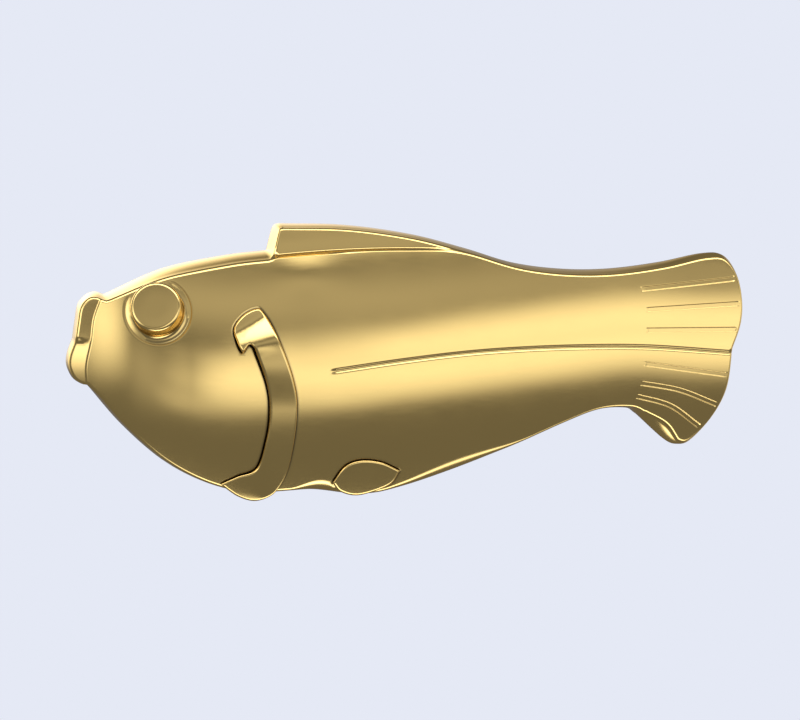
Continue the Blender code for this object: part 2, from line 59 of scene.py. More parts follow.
UPPER_LIP = [(-54.6, 13.1), (-56.2, 13.6), (-57.8, 13.1), (-59.3, 11.4), (-59.9, 8.5), (-60.4, 5.2)]
LOWER_LIP = [(-60.4, 5.2), (-61.4, 2.4), (-61.5, 0.3), (-60.6, -1.8), (-59.2, -2.8), (-58.1, -3.0)]
BELLY = [(-58.1, -3.0), (-52.0, -10.4), (-44.7, -17.1), (-37.0, -21.4), (-29.0, -23.5), (-19.0, -23.4),
         (-8.1, -24.5), (-1.0, -23.5), (9.0, -20.8), (18.9, -17.0), (30.7, -12.2), (37.5, -10.0),
         (43.6, -9.9), (46.0, -11.2)]
TAIL_BELOW = [(46.0, -11.2), (51.6, -16.2), (54.3, -17.3), (56.9, -16.5), (60.6, -12.2), (63.2, -6.4),
              (64.0, 1.3)]
TAIL_ABOVE = [(64.0, 1.3), (65.7, 6.0), (66.15, 10.5), (65.4, 15.4), (62.9, 18.9), (58.6, 19.3),
              (50.0, 17.7), (40.0, 16.6), (30.8, 16.7), (21.5, 18.0), (12.3, 20.8), (2.0, 23.5),
              (-10.4, 25.3), (-22.6, 25.7)]
FIN_FRONT = [(-22.6, 25.7), (-23.7, 25.0), (-24.9, 20.8)]
HEAD_TOP = [(-24.9, 20.8), (-33.0, 19.9), (-44.2, 17.6), (-54.6, 13.1)]
OUTLINE_RUNS = [UPPER_LIP, LOWER_LIP, BELLY, TAIL_BELOW, TAIL_ABOVE, FIN_FRONT, HEAD_TOP]

SIDE_LINE = [(-15.4, -0.6), (-2.3, 1.0), (10, 2.1), (21.4, 2.55), (33.5, 2.55), (46.6, 2.1), (63.0, 0.6)]
RAYS = [[(44.9, 13.0), (63.4, 14.5)], [(45.7, 9.2), (64.0, 9.9)], [(45.7, 5.4), (63.8, 5.1)],
        [(45.5, -0.9), (61.9, -3.5)], [(45.0, -4.6), (52.9, -6.2), (60.3, -9.1)],
        [(44.3, -7.1), (51.3, -9.2), (57.2, -13.2)]]

# Outlines of the two pieces that lie in shallow beds on the front
GILL_REAR = [(-34.6, -21.0), (-33.1, -22.3), (-31.2, -23.6), (-28.7, -24.4), (-26.4, -23.9), (-24.3, -22.2),
             (-22.4, -17.5), (-21.3, -8.0), (-22.1, -1.6), (-25.0, 6.5), (-27.1, 10.4), (-28.4, 10.9),
             (-30.6, 9.8), (-32.3, 7.6), (-31.9, 5.2), (-31.0, 3.2)]
GILL_NOTCH = [(-31.0, 3.2), (-29.8, 4.8), (-28.9, 4.2)]
GILL_CHEEK = [(-28.9, 4.2), (-26.6, -2.7), (-26.1, -8.0), (-26.7, -13.0), (-28.2, -18.1), (-31.6, -19.6),
              (-34.6, -21.0)]
GILL_RUNS = [GILL_REAR, GILL_NOTCH, GILL_CHEEK]
BELLY_FIN_TOP = [(-1.5, -19.5), (-5.2, -17.7), (-9.1, -17.2), (-12.0, -18.3), (-14.1, -21.4)]
BELLY_FIN_BELOW = [(-14.1, -21.4), (-12.4, -23.3), (-8.8, -24.1), (-3.4, -22.3), (-1.5, -19.5)]
BELLY_FIN_RUNS = [BELLY_FIN_TOP, BELLY_FIN_BELOW]


def along(stations, x):
    """Smooth curve through (x, value) stations, for an array of x."""
    at, value = np.array(stations, float).T
    slope = np.gradient(value, at)
    x = np.clip(x, at[0], at[-1])
    i = np.clip(np.searchsorted(at, x, side="right") - 1, 0, len(at) - 2)
    span = at[i + 1] - at[i]
    t = (x - at[i]) / span
    rise = value[i] * (1 + 2 * t) * (1 - t) ** 2 + value[i + 1] * t * t * (3 - 2 * t)
    return rise + span * (slope[i] * t * (1 - t) ** 2 + slope[i + 1] * t * t * (t - 1))


def smooth_run(points, step):
    """Points about one step apart on a smooth curve through the given ones, without its last point."""
    p = np.array(points, float)
    p = np.vstack([2 * p[0] - p[1], p, 2 * p[-1] - p[-2]])
    made = []
    for a, b, c, d in zip(p, p[1:], p[2:], p[3:]):
        t = np.arange(max(1, round(np.hypot(*(c - b)) / step)))[:, None]
        t = t / len(t)
        made.append(0.5 * (2 * b + (c - a) * t + (2 * a - 5 * b + 4 * c - d) * t ** 2
                           + (3 * b - a - 3 * c + d) * t ** 3))
    return np.vstack(made)


def outline(runs, step):
    return np.vstack([smooth_run(run, step) for run in runs])


def outward(loop):
    """Unit vectors out of an anticlockwise loop, at its points."""
    ahead = np.roll(loop, -1, 0) - np.roll(loop, 1, 0)
    ahead /= np.linalg.norm(ahead, axis=1)[:, None]
    return np.column_stack([ahead[:, 1], -ahead[:, 0]])


def distance(points, path, closed=True):
    """Distance of each point from a path."""
    start = path if closed else path[:-1]
    run = (np.roll(path, -1, 0) if closed else path[1:]) - start
    near = []
    for some in np.array_split(points, max(1, len(points) // 1500)):
        away = some[:, None] - start
        t = np.clip((away * run).sum(2) / np.maximum((run * run).sum(1), 1e-12), 0, 1)
        near.append(np.sqrt(((away - t[..., None] * run) ** 2).sum(2)).min(1))
    return np.concatenate(near)


def within(points, loop):
    """Whether each point is inside a loop."""
    odd = np.zeros(len(points), bool)
    for a, b in zip(loop, np.roll(loop, -1, 0)):
        if a[1] == b[1]:
            continue
        crosses = (a[1] > points[:, 1]) != (b[1] > points[:, 1])
        odd ^= crosses & (points[:, 0] < (b[0] - a[0]) * (points[:, 1] - a[1]) / (b[1] - a[1]) + a[0])
    return odd


def fill(loops, extra):
    """Flat triangles inside the first loop and outside the others, with the extra points among them."""
    edges, count = [], 0
    for loop in loops:
        edges += [(count + i, count + (i + 1) % len(loop)) for i in range(len(loop))]
        count += len(loop)
    flat = [Vector(p) for p in np.vstack([*loops, extra])]
    points, _, triangles = delaunay_2d_cdt(flat, edges, [], 0, 1e-7, False)[:3]
    points, triangles = np.array([p[:] for p in points]), np.array(triangles)
    middles = points[triangles].mean(1)
    keep = within(middles, loops[0])
    for hole in loops[1:]:
        keep &= ~within(middles, hole)
    return points, triangles[keep]


def lattice(loop, spacing):
    """A staggered lattice of points inside a loop."""
    low, high = loop.min(0), loop.max(0)
    made = []
    for k, y in enumerate(np.arange(low[1], high[1], spacing * 0.87)):
        x = np.arange(low[0] + (k % 2) * spacing / 2, high[0], spacing)
        made.append(np.column_stack([x, np.full(len(x), y)]))
    made = np.vstack(made)
    return made[within(made, loop)]


def ease(t):
    t = np.clip(t, 0, 1)
    return t * t * (3 - 2 * t)


def bump(x, centre, half):
    """A smooth hump from 0 to 1 and back."""
    return ease(1 - np.abs(x - centre) / half)


def crown(x, y):
    return along(SPINE, x) - (y - along(CENTRE, x)) ** 2 / (2 * CROWN_RADIUS)


CAST_STEP = 0.35
RIM_ROUND = 0.6
BELLY_ROUND = 2.5
# The back fin is a sunk panel that slopes and dishes a little, and fades out towards the tail
FIN_START, FIN_END = -24.5, 14.0
FIN_FADE = 15.0
FIN_STEP = 0.7
FIN_SLOPE = 0.26
FIN_DISH = 0.1
FIN_DEEP = 4.6
ROOT_SWELL = 0.32
ROOT_AT = (-19.0, 16.8)
ROOT_SPREAD = (5.5, 3.6)
# The lips slope away from a crease: the upper one steeply, the lower one less
LIP_STEP = 0.2
LIP_SLOPES = (0.65, 0.27)
LIP_PARTING = 5.3
# Half widths and depths of the cast lines
SIDE_LINE_HALF = 0.6
SIDE_LINE_DEPTH = 0.28
RAY_HALF = 0.5
RAY_DEPTH = 0.16
# The eye's place, its lean off the cheek's normal, and the beds round the raised pieces
EYE = (-45.6, 10.6)
EYE_LEAN = (-0.09, 0.12)
EYE_BED = 5.75
BED_DEPTH = 0.12
BED_WIDE = 0.5
BED_CLEAR = 0.9
# How far the sides lean in from the back to the rim: more on the head and under the tail, less at the lips
DRAFT = 0.6
HEAD_DRAFT = 0.6
TAIL_DRAFT = 1.5
LIP_UPRIGHT = 0.35

cast_base = outline(OUTLINE_RUNS, CAST_STEP)
base_x, base_y = cast_base.T
drafts = DRAFT - LIP_UPRIGHT * ease((-55.5 - base_x) / 3)
drafts += TAIL_DRAFT * bump(base_x, 49.8, 5.5) * (base_y < -8)
drafts += HEAD_DRAFT * ease((base_x + 56) / 18) * (base_x < -25.2) * (base_y > 12)
cast_side = cast_base - outward(cast_base) * drafts[:, None]
side_line = np.vstack([smooth_run(SIDE_LINE, 0.5), SIDE_LINE[-1]])
ray_lines = [np.vstack([smooth_run(ray, 0.5), ray[-1]]) for ray in RAYS]


def surface_normals(height, p, step=0.02):
    """Unit vectors square to a height function."""
    dx = (height(p + [step, 0]) - height(p - [step, 0])) / (2 * step)
    dy = (height(p + [0, step]) - height(p - [0, step])) / (2 * step)
    n = np.column_stack([-dx, -dy, np.ones(len(p))])
    return n / np.linalg.norm(n, axis=1)[:, None]


eye_axis = surface_normals(lambda p: crown(*p.T), np.array([EYE]))[0] + (*EYE_LEAN, 0)
eye_axis /= np.linalg.norm(eye_axis)
turn = np.linspace(0, 2 * np.pi, 120, endpoint=False)
eye_ring = np.array(EYE) + EYE_BED * np.column_stack([np.cos(turn), np.sin(turn)])
beds = [outline(GILL_RUNS, 0.3), outline(BELLY_FIN_RUNS, 0.3), eye_ring]


def rim_radius(p):
    """Radius of the rim: small all round, and larger along two stretches of the belly."""
    wide = np.maximum(bump(p[:, 0], 9, 15), bump(p[:, 0], -16, 6)) * (p[:, 1] < -8)
    return RIM_ROUND + (BELLY_ROUND - RIM_ROUND) * wide


def groove(points, path, half, depth, flat, taper):
    """Depth of a cast line: 'flat' is the level share of its width, 'taper' the length of its run-in."""
    t = distance(points, path, closed=False) / half
    return depth * ease((1 - t) / (1 - flat)) * ease((points[:, 0] - path[0, 0]) / taper)


def with_fin_panel(z, x, y):
    top = along(BODY_TOP, x)
    above = y - top
    panel = crown(x, np.minimum(y, top)) - FIN_STEP * ease((above + 0.25) / 0.7)
    panel = panel - FIN_SLOPE * np.maximum(above, 0)
    panel = panel - FIN_DISH * np.sin(np.pi * np.clip(above / FIN_DEEP, 0, 1))
    on_fin = ease((x - FIN_START) / 0.6) * ease((FIN_END - x) / FIN_FADE)
    return np.where(above > -0.25, z + (panel - z) * on_fin, z)


def with_lips(z, x, y):
    crease = along(LIP_CREASE, y)
    slope = LIP_SLOPES[0] + (LIP_SLOPES[1] - LIP_SLOPES[0]) * ease((y - LIP_PARTING) / 1.6 + 0.5)
    lip = crown(crease, y) - LIP_STEP - slope * (crease - x)
    return z + (lip - z) * ease((crease - x + 0.25) / 0.5)


def cast_face(p):
    """Height of the cast front at each point, with its fin panel, lips, cast lines and rounded rim."""
    x, y = p.T
    from_root = ((x - ROOT_AT[0]) / ROOT_SPREAD[0]) ** 2 + ((y - ROOT_AT[1]) / ROOT_SPREAD[1]) ** 2
    z = with_lips(with_fin_panel(crown(x, y) + ROOT_SWELL * np.exp(-from_root), x, y), x, y)
    z = z - groove(p, side_line, SIDE_LINE_HALF, SIDE_LINE_DEPTH, 0.0, 1.6)
    for ray in ray_lines:
        z = z - groove(p, ray, RAY_HALF, RAY_DEPTH, 0.6, 0.7)
    radius = rim_radius(p)
    inset = distance(p, cast_side)
    for bed in beds:
        depth = BED_DEPTH * ease((inset - RIM_ROUND) / BED_CLEAR)
        z = z - depth * np.clip(1 - distance(p, bed) / BED_WIDE, 0, 1) ** 2
    d = np.clip(inset, 0, radius)
    return z - radius + np.sqrt(radius ** 2 - (radius - d) ** 2)


def stand(points):
    """Millimetres lying on the back, to metres standing with the front towards -Y."""
    p = np.asarray(points, float)
    return np.column_stack([p[:, 0], -p[:, 2], p[:, 1]])


def piece(name, vertices, faces, material, sharp=40):
    """A smooth shaded object from lying-down millimetre points, welded and with its faces pointing out."""
    mesh = bpy.data.meshes.new(name)
    mesh.from_pydata((stand(vertices) * 0.001).tolist(), [], [tuple(int(i) for i in f) for f in faces])
    work = bmesh.new()
    work.from_mesh(mesh)
    bmesh.ops.remove_doubles(work, verts=work.verts, dist=2e-6)
    bmesh.ops.recalc_face_normals(work, faces=work.faces)
    work.to_mesh(mesh)
    work.free()
    mesh.shade_smooth()
    mesh.set_sharp_from_angle(angle=math.radians(sharp))
    mesh.materials.append(material)
    made = bpy.data.objects.new(name, mesh)
    bpy.context.scene.collection.objects.link(made)
    return made


def strip(loops):
    """Quads that join loops of one length, one above the other: returns stacked points and faces."""
    count = len(loops[0])
    faces = [(r * count + i, r * count + (i + 1) % count, (r + 1) * count + (i + 1) % count,
              (r + 1) * count + i) for r in range(len(loops) - 1) for i in range(count)]
    return np.vstack(loops), faces


def at_height(loop, z):
    return np.column_stack([loop, np.broadcast_to(z, len(loop))])


def joined(*parts):
    """Stacks (points, faces) pairs into one."""
    points, faces, first = [], [], 0
    for p, f in parts:
        points.append(p)
        faces += [tuple(first + int(i) for i in face) for face in f]
        first += len(p)
    return np.vstack(points), faces


def edge_rings(side, radius, steps):
    """Points for a rounded rim: rings inside a loop, closer together where the rim is steepest."""
    rings = []
    for k in range(1, steps + 1):
        d = np.broadcast_to(radius, len(side)) * (1 - math.cos(math.pi / 2 * k / steps))
        ring = side - outward(side) * d[:, None]
        rings.append(ring[distance(ring, side) > d * 0.98])
    return np.vstack(rings)


def line_rows(path, offsets):
    """Rows of points beside a path, to carry a cast line."""
    ahead = np.gradient(path, axis=0)
    ahead /= np.linalg.norm(ahead, axis=1)[:, None]
    side = np.column_stack([-ahead[:, 1], ahead[:, 0]])
    return np.vstack([path + side * o for o in offsets])


def set_face_normals(made, height, chosen):
    """Gives the chosen points of a piece the exact normals of their surface, and keeps the back flat."""
    mesh = made.data
    co = np.empty(len(mesh.vertices) * 3)
    mesh.vertices.foreach_get("co", co)
    co = co.reshape(-1, 3) * 1000
    lying = np.column_stack([co[:, 0], co[:, 2]])
    pick = chosen(lying, -co[:, 1])
    normals = np.zeros_like(co)
    normals[pick] = stand(surface_normals(height, lying[pick]))
    normals[-co[:, 1] < 0.01] = (0, 1, 0)
    mesh.normals_split_custom_set_from_vertices(normals.tolist())


def keep_flat(made, low, high):
    """Makes the flat faces of a piece, at two heights in millimetres, shade flat up to their soft edges."""
    mesh = made.data
    co = np.empty(len(mesh.vertices) * 3)
    mesh.vertices.foreach_get("co", co)
    z = -co.reshape(-1, 3)[:, 1] * 1000
    normals = np.zeros((len(z), 3))
    normals[abs(z - low) < 0.002] = (0, 1, 0)
    normals[abs(z - high) < 0.002] = (0, -1, 0)
    mesh.normals_split_custom_set_from_vertices(normals.tolist())


def srgb(hex_colour):
    """A hex sRGB colour as linear values."""
    parts = [int(hex_colour[i:i + 2], 16) / 255 for i in (1, 3, 5)]
    return [c / 12.92 if c <= 0.04045 else ((c + 0.055) / 1.055) ** 2.4 for c in parts] + [1.0]


def node(tree, kind, links=(), **settings):
    """Adds a shader node, sets its values and joins (socket, other node, other socket) links to it."""
    made = tree.nodes.new(kind)
    for key, value in settings.items():
        if hasattr(made, key):
            setattr(made, key, value)
        else:
            made.inputs[key.replace("_", " ")].default_value = value
    for socket, other, output in links:
        tree.links.new(other.outputs[output], made.inputs[socket])
    return made


# Repeats per millimetre of the wheel marks (about 4 mm long and 0.5 mm apart, drawn coarser than real
# ones so that they show), of the haze (8 mm patches) and of the sand's grain (0.45 mm)
MARKS_PER_MM = (0.24, 2.0, 2.0)
HAZE_PER_MM = 0.12
SAND_PER_MM = 2.2


def buffed_brass(name, shade_reach):
    """Brass buffed along the fish on a soft wheel: a mirror with fine wheel marks and a faint haze.

    A thin clear lacquer adds a paler glint.  Painted shade: where ambient occlusion finds other surfaces
    close by, in corners and creases, the base colour is mixed towards a darker brown; the second argument is
    how far it looks, in metres.
    """
    material = bpy.data.materials.new(name)
    material.use_nodes = True
    tree = material.node_tree
    shader = tree.nodes["Principled BSDF"]
    shader.inputs["Metallic"].default_value = 1.0
    shader.inputs["Specular Tint"].default_value = srgb("#F5DFAE")
    shader.inputs["Coat Weight"].default_value = 0.5
    shader.inputs["Coat Roughness"].default_value = 0.12
    place = node(tree, "ShaderNodeTexCoord")
    drawn = node(tree, "ShaderNodeMapping", [("Vector", place, "Object")],
                 Scale=tuple(1000 * n for n in MARKS_PER_MM))
    marks = node(tree, "ShaderNodeTexNoise", [("Vector", drawn, "Vector")], Scale=1.0, Detail=5.0)
    haze = node(tree, "ShaderNodeTexNoise", [("Vector", place, "Object")],
                Scale=1000 * HAZE_PER_MM, Detail=4.0)
    mixed = node(tree, "ShaderNodeMath", [(0, marks, "Fac"), (1, haze, "Fac")], operation="ADD")
    polish = node(tree, "ShaderNodeMapRange", [("Value", mixed, 0)],
                  From_Min=0.75, From_Max=1.25, To_Min=0.15, To_Max=0.19)
    relief = node(tree, "ShaderNodeBump", [("Height", marks, "Fac")], Strength=0.06, Distance=0.00001)
    # Painted shade: ambient occlusion within the given distance darkens corners and creases
    corner = node(tree, "ShaderNodeAmbientOcclusion", samples=12, Distance=shade_reach)
    painted_shade_share = node(tree, "ShaderNodeMapRange", [("Value", corner, "AO")],
                       From_Min=0.58, From_Max=0.93, To_Min=1.0, To_Max=0.0)
    tint = node(tree, "ShaderNodeMix", [("Factor", painted_shade_share, "Result")], data_type="RGBA")
    tint.inputs[6].default_value = srgb("#F3D284")
    # The second colour is the dark brown of the painted shade
    tint.inputs[7].default_value = srgb("#695F4A")
    tree.links.new(polish.outputs["Result"], shader.inputs["Roughness"])
    tree.links.new(relief.outputs["Normal"], shader.inputs["Normal"])
    tree.links.new(tint.outputs[2], shader.inputs["Base Color"])
    return material


def raw_casting():
    """Brass as it leaves the sand mould: dull, brown-gold and grainy, with no polish."""
    material = bpy.data.materials.new("sand_cast_brass")
    material.use_nodes = True
    tree = material.node_tree
    shader = tree.nodes["Principled BSDF"]
    shader.inputs["Metallic"].default_value = 1.0
    shader.inputs["Roughness"].default_value = 0.55
    place = node(tree, "ShaderNodeTexCoord")
    grain = node(tree, "ShaderNodeTexNoise", [("Vector", place, "Object")],
                 Scale=1000 * SAND_PER_MM, Detail=4.0)
    tint = node(tree, "ShaderNodeValToRGB", [("Fac", grain, "Fac")])
    tint.color_ramp.elements[0].position, tint.color_ramp.elements[1].position = 0.3, 0.7
    tint.color_ramp.elements[0].color = srgb("#8A6B36")
    tint.color_ramp.elements[1].color = srgb("#BE9A56")
    relief = node(tree, "ShaderNodeBump", [("Height", grain, "Fac")], Strength=0.6, Distance=0.00008)
    tree.links.new(tint.outputs["Color"], shader.inputs["Base Color"])
    tree.links.new(relief.outputs["Normal"], shader.inputs["Normal"])
    return material


brass = buffed_brass("buffed_cast_brass", 0.0009)

# The hollow, and the rebate and ledge that seat the back plate
HOLLOW_ENDS = (-56.5, 43.5)
PLATE_MARGIN = 1.6
PLATE_THICK = 2.2
LEDGE = 1.4
GAP = 0.3
SEAT = PLATE_THICK + GAP
WALL = 1.8
BACK_BEVEL = 0.2


def inner_outline(margin, count=120):
    """Outline of the hollow or of the back plate: the body curves moved inwards, round at both ends."""
    start, end = HOLLOW_ENDS[0] + margin, HOLLOW_ENDS[1] - margin
    turn = np.pi * np.arange(1, count) / count
    x = (start + end) / 2 - (end - start) / 2 * np.cos(turn)
    roundness = np.sqrt(1 - np.abs(np.cos(turn)) ** 12)
    top, bottom = along(BODY_TOP, x) - margin, along(BODY_BOTTOM, x) + margin
    middle = (top + bottom) / 2
    above = np.column_stack([x, middle + (top - middle) * roundness])
    below = np.column_stack([x, middle + (bottom - middle) * roundness])
    return np.vstack([below, above[::-1]])


def detail_rows():
    """Rows of points that follow the cast lines, the fin's foot, the lips' crease and the beds."""
    rows = [line_rows(path, np.linspace(-0.66, 0.66, 11)) for path in [side_line, *ray_lines]]
    x = np.arange(FIN_START, FIN_END, 0.4)
    rows.append(np.vstack([np.column_stack([x, along(BODY_TOP, x) + o]) for o in np.linspace(-0.4, 0.6, 8)]))
    y = np.arange(-2.6, 12.8, 0.3)
    crease = along(LIP_CREASE, y)
    rows.append(np.vstack([np.column_stack([crease + o, y]) for o in np.linspace(-0.5, 0.4, 8)]))
    rows += [bed + outward(bed) * o for bed in beds for o in (-0.25, 0, 0.1, 0.2, 0.3, 0.42, 0.58)]
    rows = np.vstack(rows)
    rows = rows[within(rows, cast_side)]
    return rows[distance(rows, cast_side) > rim_radius(rows) + 0.12]


def open_grid():
    """A coarser lattice for the plain stretches between those rows."""
    grid = lattice(cast_side, 0.8)
    grid = grid[distance(grid, cast_side) > rim_radius(grid) + 0.4]
    for path in [side_line, *ray_lines]:
        grid = grid[distance(grid, path, closed=False) > 0.95]
    for bed in beds:
        grid = grid[distance(grid, bed) > 0.9]
    x = np.arange(FIN_START, FIN_END, 0.4)
    top_line = np.column_stack([x, along(BODY_TOP, x)])
    return grid[distance(grid, top_line, closed=False) > 0.9]


def cast_outside():
    """The face and the drafted sides down to the back."""
    rings = edge_rings(cast_side, rim_radius(cast_side), 7)
    flat, triangles = fill([cast_side], np.vstack([rings, detail_rows(), open_grid()]))
    rim = cast_face(cast_side)
    walls = [at_height(cast_base - outward(cast_base) * BACK_BEVEL, 0.0)]
    for t in np.linspace(0, 1, 8):
        walls.append(at_height(cast_base + (cast_side - cast_base) * t ** 2,
                               BACK_BEVEL + (rim - BACK_BEVEL) * t))
    return [(np.column_stack([flat, cast_face(flat)]), triangles), strip(walls)]


def ceiling_height(flat):
    return np.maximum(SEAT + 0.4, crown(*flat.T) - WALL)


def cast_inside(rebate):
    """The flat back, the rebate and ledge for the plate, and the hollow."""
    none = np.empty((0, 2))
    hollow = inner_outline(PLATE_MARGIN + LEDGE)
    back_flat, back_faces = fill([cast_base - outward(cast_base) * BACK_BEVEL, rebate], none)
    ledge_flat, ledge_faces = fill([rebate, hollow], none)
    ceiling_flat, ceiling_faces = fill([hollow], lattice(hollow, 2.5))
    return [(at_height(back_flat, 0.0), back_faces),
            strip([at_height(rebate, 0.0), at_height(rebate, SEAT)]),
            (at_height(ledge_flat, SEAT), ledge_faces),
            strip([at_height(hollow, SEAT), np.column_stack([hollow, ceiling_height(hollow)])]),
            (np.column_stack([ceiling_flat, ceiling_height(ceiling_flat)]), ceiling_faces)]


def make_cast_front():
    rebate = inner_outline(PLATE_MARGIN - GAP)
    points, faces = joined(*cast_outside(), *cast_inside(rebate))
    made = piece("cast_front", points, faces, brass)
    made.data.materials.append(raw_casting())
    middles = np.array([p.center[:] for p in made.data.polygons]) * 1000
    halfway = crown(middles[:, 0], middles[:, 2]) - WALL / 2
    inside = within(middles[:, [0, 2]], rebate) & (-middles[:, 1] < halfway)
    made.data.polygons.foreach_set("material_index", inside.astype(np.int32))

    def on_face(p, z):
        clear = (distance(p, cast_side) > 0.02) & within(p, cast_side)
        return clear & (z > crown(*p.T) - 1.6) & (z > SEAT + 1)

    set_face_normals(made, cast_face, on_face)
    return made


cast_front = make_cast_front()
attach(cast_front, "root")
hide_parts("front_shell")


# ---- The eye -------------------------------------------------------------------------------------------
# A stud turned from brass bar, with a flat polished top and a foot that flares into the cheek.
# It leans a little forwards and up, and its pin goes through the casting to a push nut inside.
EYE_RADIUS = 4.5
EYE_HEIGHT = 4.0
EYE_SINK = 0.9
EYE_TOP_ROUND = 0.75
EYE_FLARE = 1.0
EYE_FOOT = 0.12
EYE_PIN_RADIUS = 1.0
EYE_PIN_LENGTH = 5.0
EYE_SIDES = 96


def arc(centre, radius, start, end, steps):
    """Points on an arc, as (radius, height) pairs; angles in degrees."""
    turn = np.radians(np.linspace(start, end, steps))
    return [(centre[0] + radius * math.cos(t), centre[1] + radius * math.sin(t)) for t in turn]


def turned(profile, sides):
    """Points and faces of a solid turned about z, from (radius, height) points, closed at both ends."""
    around = 2 * np.pi * np.arange(sides) / sides
    circle = np.column_stack([np.cos(around), np.sin(around)])
    points, faces = strip([at_height(circle * r, z) for r, z in profile])
    last = len(points) - sides
    faces += [tuple(range(sides)), tuple(range(last, last + sides))]
    return points, faces


def placed(points, foot, axis):
    """Points moved so that their own z runs along an axis from a foot."""
    turn = np.array(Vector((0, 0, 1)).rotation_difference(Vector(axis)).to_matrix())
    return points @ turn.T + np.array(foot)


eye_foot = np.array([*EYE, crown(*EYE)]) - eye_axis * EYE_SINK
eye_top = EYE_HEIGHT + EYE_SINK
eye_profile = [(EYE_PIN_RADIUS * 0.7, -EYE_PIN_LENGTH), (EYE_PIN_RADIUS, -EYE_PIN_LENGTH + 0.3),
               (EYE_PIN_RADIUS, 0.0), (EYE_RADIUS + EYE_FLARE, 0.0), (EYE_RADIUS + EYE_FLARE, EYE_FOOT)]
eye_profile += arc((EYE_RADIUS + EYE_FLARE, EYE_FOOT + EYE_FLARE), EYE_FLARE, 270, 180, 9)
eye_profile += arc((EYE_RADIUS - EYE_TOP_ROUND, eye_top - EYE_TOP_ROUND), EYE_TOP_ROUND, 0, 90, 9)
eye_profile += [(EYE_RADIUS * 0.4, eye_top)]
eye_points, eye_faces = turned(eye_profile, EYE_SIDES)
# The same material, with its painted shade reaching 4 mm, so that most of the eye's flank is painted darker
turned_brass = buffed_brass("buffed_turned_brass", 0.004)
eye_stud = piece("turned_eye", placed(eye_points, eye_foot, eye_axis), eye_faces, turned_brass)
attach(eye_stud, "root")
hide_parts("eye_stud")


# ---- The gill cover ------------------------------------------------------------------------------------
# A separate brass crescent pressed to the curve of the side and buffed with the body, on two pins.
# It thins from its rear edge towards the cheek, and swells to a knuckle that falls away to its top edge.
GILL_THICK = 1.75
GILL_THIN = 0.55
GILL_TAPER = 0.19
GILL_ROUND = 0.45
KNUCKLE_RISE = 1.15
KNUCKLE_TAPER = 0.12
KNUCKLE_FALL = 0.56
# The knuckle's crest starts at this point by the cheek and climbs at this slope to the rear edge
CREST_AT, CREST_SLOPE = (-29.6, 4.6), 0.3
PINS_LONG = 4.0
PIN_RADIUS = 1.0
GILL_PINS = [(-28.9, 8.0), (-23.9, -10.0)]


def softplus(v, soft):
    """The value where it is positive, and nearly nothing where it isn't, without a corner."""
    return soft * np.logaddexp(0, v / soft)


gill_spine = smooth_run(GILL_REAR[4:12], 0.3)


def gill_thickness(p):
    """Thickness at each point: a taper to the cheek, the knuckle, and a smooth least value."""
    toward_cheek = distance(p, gill_spine, closed=False)
    above = p[:, 1] - CREST_AT[1] - CREST_SLOPE * (p[:, 0] - CREST_AT[0])
    taper = GILL_TAPER + (KNUCKLE_TAPER - GILL_TAPER) * ease((above + 3.0) / 3.0)
    fall = taper * toward_cheek + KNUCKLE_FALL * softplus(above, 0.45)
    knuckle = KNUCKLE_RISE * ease((p[:, 1] + 7.0) / 12)
    return GILL_THIN + softplus(GILL_THICK + knuckle - GILL_THIN - fall, 0.12)


def raised_plate(runs, thickness, radius, pins, step=0.22, spacing=0.55):
    """A plate on the crown with a rounded upper edge: its points, faces, height function and outline."""
    loop = outline(runs, step)

    def height(p):
        d = np.clip(distance(p, loop), 0, radius)
        return crown(*p.T) + thickness(p) - radius + np.sqrt(radius ** 2 - (radius - d) ** 2)

    grid = lattice(loop, spacing)
    grid = grid[distance(grid, loop) > radius + 0.15]
    flat, triangles = fill([loop], np.vstack([edge_rings(loop, radius, 5), grid]))
    lower = crown(*flat.T) + 0.02
    face = (np.column_stack([flat, height(flat)]), triangles)
    under = (np.column_stack([flat, lower]), triangles)
    wall = strip([np.column_stack([loop, crown(*loop.T) + 0.02]), np.column_stack([loop, height(loop)])])
    parts = [face, under, wall]
    for pin in pins:
        post, post_faces = turned([(PIN_RADIUS * 0.7, -PINS_LONG), (PIN_RADIUS, -PINS_LONG + 0.3),
                                   (PIN_RADIUS, 0.0)], 24)
        parts.append((post + np.array([*pin, crown(*pin)]), post_faces))
    return (*joined(*parts), height, loop)


def make_raised(name, runs, thickness, radius, pins):
    points, faces, height, loop = raised_plate(runs, thickness, radius, pins)
    made = piece(name, points, faces, brass)
    set_face_normals(made, height,
                     lambda p, z: (distance(p, loop) > 0.01) & within(p, loop) & (z > crown(*p.T) + 0.05))
    return made


gill_cover = make_raised("pressed_gill", GILL_RUNS, gill_thickness, GILL_ROUND, GILL_PINS)
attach(gill_cover, "root")
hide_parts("gill_cover")


# ---- The belly fin -------------------------------------------------------------------------------------
# A small brass leaf of one thickness, made and buffed like the gill cover.
# Its one pin is out of sight in a blind hole in the rim, and isn't made here.
BELLY_FIN_THICK = 0.6
BELLY_FIN_ROUND = 0.5
belly_fin = make_raised("belly_fin", BELLY_FIN_RUNS,
                        lambda p: np.full(len(p), BELLY_FIN_THICK), BELLY_FIN_ROUND, [])
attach(belly_fin, "root")
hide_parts("ventral_fin")


# ---- The push nuts -------------------------------------------------------------------------------------
# Three spring steel rings, stamped and zinc plated, with six teeth that bite on the brass pins.
# One holds the eye and two hold the gill cover, all inside the hollow.
NUT_WIDTH = 1.2
NUT_THICK = 0.5
NUT_BEVEL = 0.08
NUT_POINTS = 72
TOOTH_GAP = 0.35
EYE_NUT_DROP, GILL_NUT_DROP = 0.9, 1.5
CLOUDS_PER_MM = 0.42


